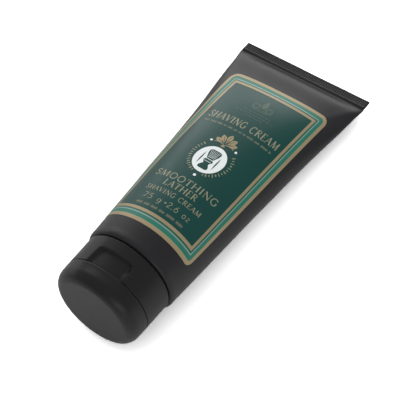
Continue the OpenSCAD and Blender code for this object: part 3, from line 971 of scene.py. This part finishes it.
def make_petals():
    """Five petals over the badge, a curved leaf on each side of their foot, and a vein in each petal."""
    petals = Print()
    veins = Print()
    for k in range(-2, 3):
        angle = math.radians(90 + k * PETAL_TURN)
        c = math.cos(angle)
        s = math.sin(angle)
        petals.spindle(BADGE_U + c * 0.9, PETALS_Z + s * 0.7, angle, 5.8 - abs(k) * 0.7, 2.1, 1.7)
        veins.ribbon([(BADGE_U + c * r, PETALS_Z + s * r) for r in (2.2, 5.4 - abs(k) * 0.65)], 0.2)
    for side in (-1, 1):
        curl = ellipse(2.2, PETALS_Z - 0.3, 2.2, 0.9, 190, 20, 14)
        petals.ribbon([(BADGE_U + side * x, z) for x, z in curl], 0.3)
    petals.spindle(BADGE_U - 1.0, PETALS_Z - 0.7, 0, 2.0, 0.9)
    petals.make("label_petals", OFF_INK, M_GOLD, "label_gold")
    veins.make("label_petal_veins", OFF_TOP, M_GREEN, "label_green")


def make_beads():
    beads = Print()
    for side in (-1, 1):
        beads.disc(BADGE_U + side * 5.6, BADGE_Z + 9.3, 0.54, 0.54, 2, 16)
    beads.disc(BADGE_U, BADGE_Z - 9.7, 0.62, 0.62, 2, 16)
    beads.make("label_beads", OFF_INK, M_WHITE, "label_badge")


def make_ring():
    """Ticks along an oval round the badge, open at the top for the petals and at the bottom for a bead."""
    ring = Print()
    for k in range(31):
        degrees = 145 + k * 250 / 30
        if abs(degrees - 270) < 9:
            continue
        c = math.cos(math.radians(degrees))
        s = math.sin(math.radians(degrees))
        u = BADGE_U + RING_U * c
        z = BADGE_Z + 1.0 + RING_Z * s
        along = math.atan2(s * RING_Z, c * RING_U)
        out_u = math.cos(along)
        out_z = math.sin(along)
        half = 0.5 if k % 2 else 0.75
        ring.ribbon([(u - half * out_u, z - half * out_z), (u + half * out_u, z + half * out_z)], 0.34)
        if k % 3 == 0:
            ring.ribbon([(u - 0.4 * out_z, z + 0.4 * out_u), (u + 0.4 * out_z, z - 0.4 * out_u)], 0.28)
    ring.make("label_ring", OFF_INK, M_PALE, "label_gold")


def make_faint_ornament():
    """A drop with a bubble on each side, over three rows of small print."""
    faint = Print()
    faint.spindle(BADGE_U, 86.0, UPRIGHT, 6.2, 2.6, 0.62)
    for side in (-1, 1):
        bubble = ellipse(2.9, 86.4, 1.25, 1.45, 0, 360, 20)
        faint.ribbon([(BADGE_U + side * x, z) for x, z in bubble], 0.55)
        wave = ellipse(2.4, 85.6, 2.2, 1.0, 200, 350, 14)
        faint.ribbon([(BADGE_U + side * x, z) for x, z in wave], 0.35)
    faint.ribbon([(-2.8, 83.9), (3.6, 83.9)], 0.35)
    for z, width in ((81.7, 12), (80.1, 17.4), (78.6, 8.2)):
        bars(faint, BADGE_U, z, 0.8, width, 0.6, 2.0, 0.45)
    faint.make("label_faint_ornament", OFF_INK, M_FAINT, "label_gold")


make_badge()
make_petals()
make_beads()
make_ring()
make_faint_ornament()

# ---------------------------------------------------------------- floor and surroundings
FLOOR_HALF = 3.0
# a white table is brighter to the camera and a little darker in reflections than its light on the object
FLOOR_SEEN = 2.3
FLOOR_REFLECTED = 0.68
WORLD_LIGHT = (0.78, 0.78, 0.78, 1)
WORLD_REFLECTED = (0.215, 0.215, 0.22, 1)
WORLD_SEEN = (1.0, 1.0, 1.0, 1)


def by_ray(tree, rays, first, second, blend="MIX"):
    """Changes the colour socket first for one kind of ray: second is mixed in, or multiplied."""
    path = tree.nodes.new("ShaderNodeLightPath")
    mix = color_mix(tree, blend)
    mix.inputs[7].default_value = second
    tree.links.new(path.outputs[rays], mix.inputs[0])
    tree.links.new(first, mix.inputs[6])
    return mix.outputs[2]


def make_floor():
    mesh = bpy.data.meshes.new("floor")
    corners = [(x * FLOOR_HALF, y * FLOOR_HALF, 0) for x, y in ((-1, -1), (1, -1), (1, 1), (-1, 1))]
    mesh.from_pydata(corners, [], [(0, 1, 2, 3)])
    floor = bpy.data.objects.new("floor", mesh)
    bpy.context.scene.collection.objects.link(floor)
    mat = material("floor_pale", (0.86, 0.86, 0.86), 0.8, tint=0.005, spec=0.1, blotch=3, grain=300,
                   grain_h=0.00001)
    mesh.materials.append(mat)
    tree = mat.node_tree
    base = tree.nodes["Principled BSDF"].inputs["Base Color"]
    color = base.links[0].from_socket
    color = by_ray(tree, "Is Camera Ray", color, (FLOOR_SEEN, FLOOR_SEEN, FLOOR_SEEN, 1), "MULTIPLY")
    dark = (FLOOR_REFLECTED, FLOOR_REFLECTED, FLOOR_REFLECTED, 1)
    color = by_ray(tree, "Is Glossy Ray", color, dark, "MULTIPLY")
    tree.links.new(color, base)


def make_world():
    world = bpy.data.worlds.new("studio")
    bpy.context.scene.world = world
    world.use_nodes = True
    tree = world.node_tree
    plain = tree.nodes.new("ShaderNodeRGB")
    plain.outputs[0].default_value = WORLD_LIGHT
    color = by_ray(tree, "Is Glossy Ray", plain.outputs[0], WORLD_REFLECTED)
    color = by_ray(tree, "Is Camera Ray", color, WORLD_SEEN)
    tree.links.new(color, tree.nodes["Background"].inputs["Color"])
    tree.nodes["Background"].inputs["Strength"].default_value = 1.0


make_floor()
make_world()

# ---------------------------------------------------------------- lights
# A card shows only in reflections, and a lamp lights the scene without being reflected.
CARD = True
LAMP = False
TABLE_MIDDLE = (0, 0, 0)
TUBE_MIDDLE = (0, 0, 0.02)
# name, kind, place, aim, width, height, watts
LIGHTS = (("overhead", LAMP, (-0.1, 0.2, 1.5), TABLE_MIDDLE, 1.6, 1.6, 5),
          ("card_back_left", CARD, (-0.5, 1.0, 0.20), TUBE_MIDDLE, 1.3, 0.42, 3.6),
          ("card_back_upper", CARD, (-0.52, 0.86, 0.62), TUBE_MIDDLE, 0.95, 0.42, 0.9),
          ("card_left", CARD, (-1.0, 0.1, 0.14), TUBE_MIDDLE, 1.0, 0.26, 0.7),
          ("window_back_left", LAMP, (-0.6, 0.7, 0.75), TUBE_MIDDLE, 0.9, 0.9, 1.0),
          ("card_front_right", CARD, (0.95, -0.88, 0.5), TUBE_MIDDLE, 1.0, 0.55, 1.7))


def make_light(name, card, place, aim, width, height, watts):
    """A soft rectangular light, in metres like the camera."""
    lamp = bpy.data.lights.new(name, "AREA")
    lamp.shape = "RECTANGLE"
    lamp.size = width
    lamp.size_y = height
    lamp.energy = watts
    ob = bpy.data.objects.new(name, lamp)
    bpy.context.scene.collection.objects.link(ob)
    ob.location = place
    ob.rotation_euler = (Vector(aim) - Vector(place)).to_track_quat("-Z", "Y").to_euler()
    ob.visible_glossy = card
    ob.visible_diffuse = not card


for light in LIGHTS:
    make_light(*light)

# ---------------------------------------------------------------- camera
AZIMUTH = math.radians(39.625)
ELEVATION = math.radians(56.949)
ROLL = math.radians(-5.203)
CAMERA_PLACE = (0.137536, -0.172290, 0.341379)
SENSOR_W = 36
FOCAL_LENGTH = 92.421


def make_camera():
    """A long lens that looks down on the tube from the front right."""
    right = Vector((math.cos(AZIMUTH), math.sin(AZIMUTH), 0))
    forward = Vector((-math.sin(AZIMUTH) * math.cos(ELEVATION), math.cos(AZIMUTH) * math.cos(ELEVATION),
                      -math.sin(ELEVATION)))
    up = Vector((-math.sin(AZIMUTH) * math.sin(ELEVATION), math.cos(AZIMUTH) * math.sin(ELEVATION),
                 math.cos(ELEVATION)))
    rolled_right = right * math.cos(ROLL) + up * math.sin(ROLL)
    rolled_up = -right * math.sin(ROLL) + up * math.cos(ROLL)
    lens = bpy.data.cameras.new("camera")
    lens.sensor_width = SENSOR_W
    lens.lens = FOCAL_LENGTH
    lens.clip_start = 0.01
    lens.clip_end = 20
    camera = bpy.data.objects.new("camera", lens)
    bpy.context.scene.collection.objects.link(camera)
    turn = Matrix((rolled_right, rolled_up, -forward)).transposed()
    camera.matrix_world = Matrix.Translation(CAMERA_PLACE) @ turn.to_4x4()
    bpy.context.scene.camera = camera
    bpy.context.scene.view_settings.view_transform = "Standard"


make_camera()
